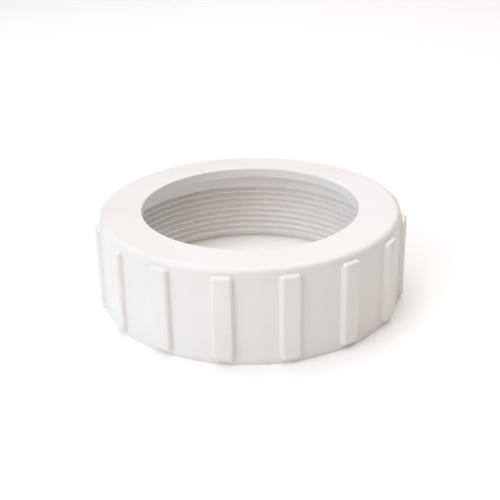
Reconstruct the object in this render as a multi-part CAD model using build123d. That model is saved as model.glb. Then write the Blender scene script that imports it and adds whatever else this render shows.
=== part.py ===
from build123d import *
from math import ceil, cos, pi, sin, tan
import os

# Union nut of a DN50 pipe union: one moulding in rigid white PVC. Lengths are in millimetres.
# The nut is a coupling collar. It stands on its open end, with the thread's axis along Z and the
# lip that traps the tailpiece's flange on top. The origin is the centre of the open end's face,
# and one of the grip ribs faces -Y.

# Outside of the collar
HEIGHT = 31.4
BODY_R = 50.5  # at the top, above the ribs
BODY_DRAFT = 0.5  # degrees, widening downwards, so that the cavity draws off upwards
TOP_ROUND = 2.0
RIM_CHAMFER = 0.2

# Lip, and the smooth land that centres the tailpiece's flange
BORE_R = 36.35
BORE_ROUND = 0.4
LIP_THICKNESS = 3.5
LAND_R = 42.0
LAND_START_Z = 22.4
SHOULDER_ROUND = 0.6

# Female thread: G 3 parallel pipe thread, 11 turns to the inch, 55 degree Whitworth form
PITCH = 25.4 / 11
MAJOR_R = 87.884 / 2
MINOR_R = 84.926 / 2
FLANK_SLOPE = tan(27.5 * pi / 180)
ROOT_FLAT = PITCH / 6
CREST_BREAK = 0.10  # the crest's two edges are broken by this much in radius
ROOT_BREAK = 0.12
BREAK_OVERRUN = 0.05  # the break's own slope goes on this far into the open bore
CLEAR_OF_CREST = 1.0  # the groove tool reaches this far into the open bore
TOP_GROOVE_Z = 20.98  # the top turn's middle, where it crosses +Y
FULL_TURN_PAST_Y = 120  # degrees past +Y where the top turn begins to run out
RUN_OUT = 60  # degrees over which the groove fades into the land
LOWEST_GROOVE_Z = 0.9  # the groove begins here, in the open lead-in
RUN_OUT_STEPS = 12
FADED_INSIDE = 0.15  # the faded groove's root ends this far inside the land's radius

# Lead-in cone at the open end
MOUTH_R = 46.2

# Grip ribs
RIB_COUNT = 16
RIB_WIDTH = 6.5  # at the wall
RIB_PROUD = 1.7
RIB_TOP_Z = 29.3
RIB_LOW_Z = 1.7
RIB_FLANK_DRAFT = 6.0
RIB_CORNER = 1.4  # corners of its outline, where it leaves the wall
RIB_EDGE_ROUND = 1.0
RIB_ROOT_ROUND = 0.4
RIB_SEAT = 1.5  # how far a rib is sunk in the wall before they are joined

SHOULDER_Z = HEIGHT - LIP_THICKNESS
DRAFT_SLOPE = tan(BODY_DRAFT * pi / 180)
BASE_R = BODY_R + HEIGHT * DRAFT_SLOPE


def corner(section, radius, height):
    """The vertex of a half section nearest to this radius and height."""
    return section.vertices().sort_by_distance((radius, height, 0))[0]


def collar():
    """The plain ring of revolution: wall, lip, land, smooth thread bore and lead-in cone."""
    outline = Polyline(
        (BORE_R, HEIGHT),
        (BORE_R, SHOULDER_Z),
        (LAND_R, SHOULDER_Z),
        (LAND_R, LAND_START_Z),
        (MINOR_R, LAND_START_Z - (MINOR_R - LAND_R)),
        (MINOR_R, MOUTH_R - MINOR_R),
        (MOUTH_R, 0),
        (BASE_R - RIM_CHAMFER, 0),
        (BASE_R, RIM_CHAMFER),
        (BODY_R, HEIGHT),
        close=True,
    )
    section = make_face(outline)
    section = fillet(corner(section, BODY_R, HEIGHT), TOP_ROUND)
    section = fillet(corner(section, BORE_R, HEIGHT), BORE_ROUND)
    section = fillet(corner(section, BORE_R, SHOULDER_Z), BORE_ROUND)
    section = fillet(corner(section, LAND_R, SHOULDER_Z), SHOULDER_ROUND)
    return revolve(Plane.XZ * section, axis=Axis.Z)


def rib_envelope():
    """The ring that bounds the ribs: the wall's own cone moved out."""
    inner_r = BODY_R - 2 * RIB_SEAT
    outline = Polyline(
        (inner_r, 0),
        (BASE_R + RIB_PROUD, 0),
        (BODY_R + RIB_PROUD, HEIGHT),
        (inner_r, HEIGHT),
        close=True,
    )
    return revolve(Plane.XZ * make_face(outline), axis=Axis.Z)


def grip_rib():
    """One rib on the -Y side: drafted flanks and ends, rounded corners and rounded outer edges."""
    widening = RIB_SEAT * tan(RIB_FLANK_DRAFT * pi / 180)
    width = RIB_WIDTH + 2 * widening
    length = RIB_TOP_Z - RIB_LOW_Z + 2 * widening
    outline = Pos(0, (RIB_TOP_Z + RIB_LOW_Z) / 2) * Rectangle(width, length)
    outline = fillet(outline.vertices(), RIB_CORNER)
    seat = Plane.XZ.offset(BODY_R - RIB_SEAT)
    block = extrude(seat * outline, RIB_SEAT + 2 * RIB_PROUD, taper=RIB_FLANK_DRAFT)
    rib = block & rib_envelope()
    face = rib.faces().sort_by(Axis.Y)[0]
    return fillet(face.edges(), RIB_EDGE_ROUND)


def groove_corners(root_r):
    """The groove's half section, as radius and half width, from the open bore out to its root."""
    def half_width(radius):
        return ROOT_FLAT / 2 + (root_r - radius) * FLANK_SLOPE
    crest_r = root_r - (MAJOR_R - MINOR_R)
    break_width = half_width(crest_r + CREST_BREAK)
    open_width = break_width + CREST_BREAK + BREAK_OVERRUN
    return (
        (crest_r - CLEAR_OF_CREST, open_width),
        (crest_r - BREAK_OVERRUN, open_width),
        (crest_r + CREST_BREAK, break_width),
        (root_r - ROOT_BREAK, half_width(root_r - ROOT_BREAK)),
        (root_r, ROOT_FLAT / 2 - ROOT_BREAK / 2),
    )


def groove_height(angle):
    """Height of the groove's middle at this angle from +X, in radians. It rises anticlockwise."""
    return TOP_GROOVE_Z + (angle - pi / 2) / (2 * pi) * PITCH


def full_depth_edge(start, end, number, side):
    """One edge of the groove over a stretch of full depth: a true helix."""
    radius, half_width = groove_corners(MAJOR_R)[number]
    rise = (end - start) / (2 * pi) * PITCH
    helix = Edge.make_helix(PITCH, rise, radius).edge()
    low_z = groove_height(start) + side * half_width
    return Pos(0, 0, low_z) * Rot(0, 0, start * 180 / pi) * helix


def run_out_edge(start, end, number, side):
    """One edge of the groove where it fades inward, as a curve through points a few degrees apart."""
    points = []
    tangents = []
    for step in range(RUN_OUT_STEPS + 1):
        share = step / RUN_OUT_STEPS
        angle = start + (end - start) * share
        faded_r = LAND_R - FADED_INSIDE
        root_r = MAJOR_R - (MAJOR_R - faded_r) * (1 - cos(pi * share)) / 2
        radius, half_width = groove_corners(root_r)[number]
        height = groove_height(angle) + side * half_width
        points.append((radius * cos(angle), radius * sin(angle), height))
        tangents.append((-radius * sin(angle), radius * cos(angle), PITCH / (2 * pi)))
    return Spline(*points, tangents=(tangents[0], tangents[-1])).edge()


def groove_piece(start, end, edge_of):
    """The closed solid of the groove between two angles, bounded by ruled strips and two ends."""
    corners = range(len(groove_corners(MAJOR_R)))
    lower = [edge_of(start, end, number, -1) for number in corners]
    upper = [edge_of(start, end, number, 1) for number in reversed(corners)]
    around = lower + upper
    faces = [Face.make_surface_from_curves(around[i - 1], around[i]) for i in range(len(around))]
    for place in (0, 1):
        faces.append(Face(Wire.make_polygon([edge @ place for edge in around], close=True)))
    return Solid(Shell(faces))


def thread_groove():
    """The right-hand helical groove as pieces end to end, from the lead-in cone to its run-out."""
    first = pi / 2 - (TOP_GROOVE_Z - LOWEST_GROOVE_Z) / PITCH * 2 * pi
    last = (90 + FULL_TURN_PAST_Y) * pi / 180
    count = ceil((last - first) / (2 * pi))
    step = (last - first) / count
    pieces = []
    for turn in range(count):
        start = first + turn * step
        pieces.append(groove_piece(start, start + step, full_depth_edge))
    pieces.append(groove_piece(last, last + RUN_OUT * pi / 180, run_out_edge))
    return pieces


def union_nut():
    """The whole nut: collar, ribs with rounded roots, and the thread cut last."""
    ring = collar()
    rib = grip_rib()
    ribs = [place * rib for place in PolarLocations(0, RIB_COUNT)]
    nut = ring + ribs
    roots = new_edges(ring, *ribs, combined=nut)
    nut = fillet(roots, RIB_ROOT_ROUND)
    return nut - thread_groove()


os.makedirs("parts", exist_ok=True)
export_step(union_nut(), "parts/union_nut.step")
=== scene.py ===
"""White PVC union nut on a plain pale floor, in soft studio light. Lengths are in metres."""
from math import cos, radians, sin

import bpy
from mathutils import Matrix, Vector


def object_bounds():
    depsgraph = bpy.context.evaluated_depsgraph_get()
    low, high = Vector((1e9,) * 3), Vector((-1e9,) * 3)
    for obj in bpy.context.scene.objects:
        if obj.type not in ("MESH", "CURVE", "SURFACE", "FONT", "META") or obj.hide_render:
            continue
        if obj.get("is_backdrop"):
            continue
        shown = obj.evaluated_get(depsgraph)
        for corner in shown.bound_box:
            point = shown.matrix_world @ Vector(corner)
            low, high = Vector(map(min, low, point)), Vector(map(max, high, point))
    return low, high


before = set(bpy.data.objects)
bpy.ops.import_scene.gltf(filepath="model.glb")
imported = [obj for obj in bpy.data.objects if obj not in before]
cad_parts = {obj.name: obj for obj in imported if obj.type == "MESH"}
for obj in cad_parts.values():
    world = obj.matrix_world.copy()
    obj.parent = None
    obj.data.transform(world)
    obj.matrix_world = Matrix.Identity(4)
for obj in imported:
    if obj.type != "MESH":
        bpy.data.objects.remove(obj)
cad_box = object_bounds()

# Camera: it looks down on the nut from just right of one grip rib
CAMERA_AZIMUTH = 9.65
CAMERA_ELEVATION = 24.75
CAMERA_DISTANCE = 0.2972
CAMERA_AIM = (-0.0003, 0.0, 0.0145)  # sideways and up, before the azimuth is turned
CAMERA_ROLL = -1.05
CAMERA_LENS = 61.95  # mm, on a 36 mm sensor

# Tints of the lights
DAYLIGHT = (0.94, 0.96, 0.98)
COOL = (0.85, 0.9, 1.0)
SKY = (0.5, 0.9, 1.0)
LAMPLIGHT = (1.0, 0.6, 0.3)
SAND = (1.0, 0.75, 0.4)
ROSE = (1.0, 0.9, 0.9)

# Lights: name, azimuth and elevation of where it hangs, size, power, tint
LIGHT_DISTANCE = 1.2
LIGHTS = (
    ("overhead", 0, 89, 1.2, 9.0, DAYLIGHT),
    ("left_low", -85, 14, 0.6, 1.2, SKY),
    ("front_left", -40, 38, 1.0, 6.2, COOL),
    ("front", 5, 38, 1.0, 1.7, LAMPLIGHT),
    ("back_right", 130, 40, 1.0, 0.7, SAND),
    ("back", 180, 45, 1.0, 3.9, ROSE),
    ("back_left", -130, 40, 1.0, 0.9, DAYLIGHT),
)
SURROUND = 0.08  # brightness of the even pale surround

# Floor: bright paper that glows a little
FLOOR_SIZE = 6.0
FLOOR_WHITE = 0.97
FLOOR_GLOW = 0.08

# White PVC: two close shades that the melt's flow mixes, the wear on them, and a painted shade along
# the bottom rim next to the floor
COOL_WHITE = (0.905, 0.895, 0.88, 1)
WARM_WHITE = (0.885, 0.862, 0.83, 1)
SCUFFED_WHITE = (0.80, 0.785, 0.765, 1)
SHADED_RIM_WHITE = (0.70, 0.68, 0.65, 1)
PVC_IOR = 1.53
FLOW_SCALE = 32.0  # noise features per metre, as in the other scales
MOTTLE_SCALE = 420.0
SKIN_SCALE = 1300.0
SKIN_HEIGHT = 0.00002
WAVE_SCALE = 90.0
WAVE_HEIGHT = 0.00012
SCUFF_SCALE = (260.0, 260.0, 1500.0)  # short marks that run round the nut
GLOSSY = 0.3
SATIN = 0.44
SCUFF_ROUGHNESS = 0.14
WEAR_SHARE = 0.3  # how far worn spots go towards the scuffed shade
RIM_SHADE_SHARE = 0.5
EDGE_WIDTH = 0.0006
RIM_SHADE_TOP = 0.0022  # height above the floor where the painted shade along the bottom rim ends


def direction(azimuth, elevation):
    """Unit vector from the nut towards this azimuth (0 is -Y, 90 is +X) and elevation, in degrees."""
    a, e = radians(azimuth), radians(elevation)
    return Vector((sin(a) * cos(e), -cos(a) * cos(e), sin(e)))


def make_camera():
    """The camera at the photograph's viewing angle."""
    data = bpy.data.cameras.new("camera")
    data.lens = CAMERA_LENS
    data.sensor_width = 36.0
    data.clip_start = 0.01
    data.clip_end = 50.0
    camera = bpy.data.objects.new("camera", data)
    back = direction(CAMERA_AZIMUTH, CAMERA_ELEVATION)
    side = direction(CAMERA_AZIMUTH + 90, 0)
    aim = side * CAMERA_AIM[0] + Vector((0, 0, CAMERA_AIM[2]))
    camera.location = aim + back * CAMERA_DISTANCE
    look = (-back).to_track_quat("-Z", "Y")
    camera.rotation_mode = "QUATERNION"
    camera.rotation_quaternion = look @ Matrix.Rotation(radians(CAMERA_ROLL), 3, "Z").to_quaternion()
    bpy.context.scene.collection.objects.link(camera)
    bpy.context.scene.camera = camera


def make_lights():
    """Large soft panels round the nut, and an even pale surround."""
    for name, azimuth, elevation, size, power, tint in LIGHTS:
        data = bpy.data.lights.new(name, "AREA")
        data.shape = "DISK"
        data.size = size
        data.energy = power
        data.color = tint
        lamp = bpy.data.objects.new(name, data)
        towards = direction(azimuth, elevation)
        lamp.location = towards * LIGHT_DISTANCE
        lamp.rotation_mode = "QUATERNION"
        lamp.rotation_quaternion = (-towards).to_track_quat("-Z", "Y")
        bpy.context.scene.collection.objects.link(lamp)
    world = bpy.data.worlds.new("surround")
    world.use_nodes = True
    background = world.node_tree.nodes["Background"]
    background.inputs["Color"].default_value = (1, 1, 1, 1)
    background.inputs["Strength"].default_value = SURROUND
    bpy.context.scene.world = world
    bpy.context.scene.view_settings.view_transform = "Standard"


def make_floor():
    """The plain pale floor."""
    half = FLOOR_SIZE / 2
    mesh = bpy.data.meshes.new("floor")
    corners = [(-half, -half, 0), (half, -half, 0), (half, half, 0), (-half, half, 0)]
    mesh.from_pydata(corners, [], [(0, 1, 2, 3)])
    material = bpy.data.materials.new("floor_paper")
    material.use_nodes = True
    shader = material.node_tree.nodes["Principled BSDF"]
    shader.inputs["Base Color"].default_value = (FLOOR_WHITE, FLOOR_WHITE, FLOOR_WHITE, 1)
    shader.inputs["Roughness"].default_value = 0.9
    shader.inputs["Specular IOR Level"].default_value = 0.1
    shader.inputs["Emission Color"].default_value = (1, 1, 1, 1)
    shader.inputs["Emission Strength"].default_value = FLOOR_GLOW
    mesh.materials.append(material)
    floor = bpy.data.objects.new("floor", mesh)
    bpy.context.scene.collection.objects.link(floor)
    floor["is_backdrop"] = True


class Nodes:
    """A material's node tree, with one short method for each kind of node used here."""

    def __init__(self, material):
        self.tree = material.node_tree
        self.place = self.add("ShaderNodeTexCoord").outputs["Object"]

    def add(self, kind, **sockets):
        """A new node, its named inputs linked from sockets or set to values."""
        node = self.tree.nodes.new(kind)
        for name, value in sockets.items():
            self.feed(node.inputs[name.replace("_", " ")], value)
        return node

    def feed(self, socket, value):
        """Link the socket if the value is another socket, or else set it."""
        if isinstance(value, bpy.types.NodeSocket):
            self.tree.links.new(value, socket)
        else:
            socket.default_value = value

    def noise(self, scale, detail=2.0):
        """Noise of this many features per metre, stretched if the scale is three numbers."""
        place = self.place
        if isinstance(scale, tuple):
            place = self.add("ShaderNodeMapping", Vector=place, Scale=scale).outputs["Vector"]
            scale = 1.0
        return self.add("ShaderNodeTexNoise", Vector=place, Scale=scale, Detail=detail).outputs["Fac"]

    def span(self, value, low, high, to_low=0.0, to_high=1.0):
        """The value, with low to high mapped on to another range and held at its ends."""
        ends = {"From_Min": low, "From_Max": high, "To_Min": to_low, "To_Max": to_high}
        return self.add("ShaderNodeMapRange", Value=value, **ends).outputs["Result"]

    def math(self, operation, first, second):
        """Arithmetic on two values."""
        node = self.add("ShaderNodeMath")
        node.operation = operation
        self.feed(node.inputs[0], first)
        self.feed(node.inputs[1], second)
        return node.outputs["Value"]

    def mix(self, share, first, second):
        """A colour between two colours."""
        node = self.add("ShaderNodeMix")
        node.data_type = "RGBA"
        for socket, value in ((0, share), (6, first), (7, second)):
            self.feed(node.inputs[socket], value)
        return node.outputs[2]

    def bump(self, height, distance, normal=None):
        """Relief of this real height, on top of an earlier relief."""
        node = self.add("ShaderNodeBump", Height=height, Distance=distance)
        if normal:
            self.feed(node.inputs["Normal"], normal)
        return node.outputs["Normal"]

    def edges(self, width):
        """1 along outer and inner edges, and 0 on open faces."""
        rounded = self.add("ShaderNodeBevel", Radius=width).outputs["Normal"]
        plain = self.add("ShaderNodeNewGeometry").outputs["Normal"]
        dot = self.add("ShaderNodeVectorMath")
        dot.operation = "DOT_PRODUCT"
        self.feed(dot.inputs[0], rounded)
        self.feed(dot.inputs[1], plain)
        return self.span(dot.outputs["Value"], 0.995, 0.93)


def white_pvc():
    """Injection-moulded rigid white PVC: satin, faintly streaked by flow, scuffed along its edges,
    with painted shade along the bottom rim.
    """
    material = bpy.data.materials.new("white_pvc_moulded")
    material.use_nodes = True
    nodes = Nodes(material)
    flow = nodes.span(nodes.noise(FLOW_SCALE, 4.0), 0.35, 0.65)
    colour = nodes.mix(flow, COOL_WHITE, WARM_WHITE)

    scuffs = nodes.span(nodes.noise(SCUFF_SCALE, 3.0), 0.60, 0.72)
    patches = nodes.span(nodes.noise(FLOW_SCALE * 2, 2.0), 0.45, 0.6)
    scuffs = nodes.math("MULTIPLY", scuffs, patches)
    chipped = nodes.span(nodes.noise(MOTTLE_SCALE), 0.4, 0.62)
    wear = nodes.math("MULTIPLY", nodes.edges(EDGE_WIDTH), chipped)
    worn = nodes.math("MAXIMUM", scuffs, wear)
    colour = nodes.mix(nodes.math("MULTIPLY", worn, WEAR_SHARE), colour, SCUFFED_WHITE)

    # Painted shade: the colour darkens over the lowest few millimetres next to the floor, standing in
    # for the contact shadow
    height = nodes.add("ShaderNodeSeparateXYZ", Vector=nodes.place).outputs["Z"]
    rim_shade = nodes.span(height, RIM_SHADE_TOP, 0.0)
    rim_shade = nodes.math("MULTIPLY", rim_shade, nodes.span(nodes.noise(MOTTLE_SCALE / 2), 0.35, 0.7))
    colour = nodes.mix(nodes.math("MULTIPLY", rim_shade, RIM_SHADE_SHARE), colour, SHADED_RIM_WHITE)

    mottle = nodes.span(nodes.noise(MOTTLE_SCALE), 0.3, 0.7, GLOSSY, SATIN)
    roughness = nodes.math("ADD", mottle, nodes.math("MULTIPLY", worn, SCUFF_ROUGHNESS))

    wave = nodes.bump(nodes.noise(WAVE_SCALE), WAVE_HEIGHT)
    skin = nodes.bump(nodes.noise(SKIN_SCALE), SKIN_HEIGHT, wave)

    shader = material.node_tree.nodes["Principled BSDF"]
    nodes.feed(shader.inputs["Base Color"], colour)
    nodes.feed(shader.inputs["Roughness"], roughness)
    nodes.feed(shader.inputs["Normal"], skin)
    shader.inputs["IOR"].default_value = PVC_IOR
    return material


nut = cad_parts["union_nut"]
nut.material_slots[0].material = white_pvc()
make_floor()
make_lights()
make_camera()

sizes = {"cad": cad_box, "visual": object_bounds()}
sizes = {name: [list(point) for point in box] for name, box in sizes.items()}
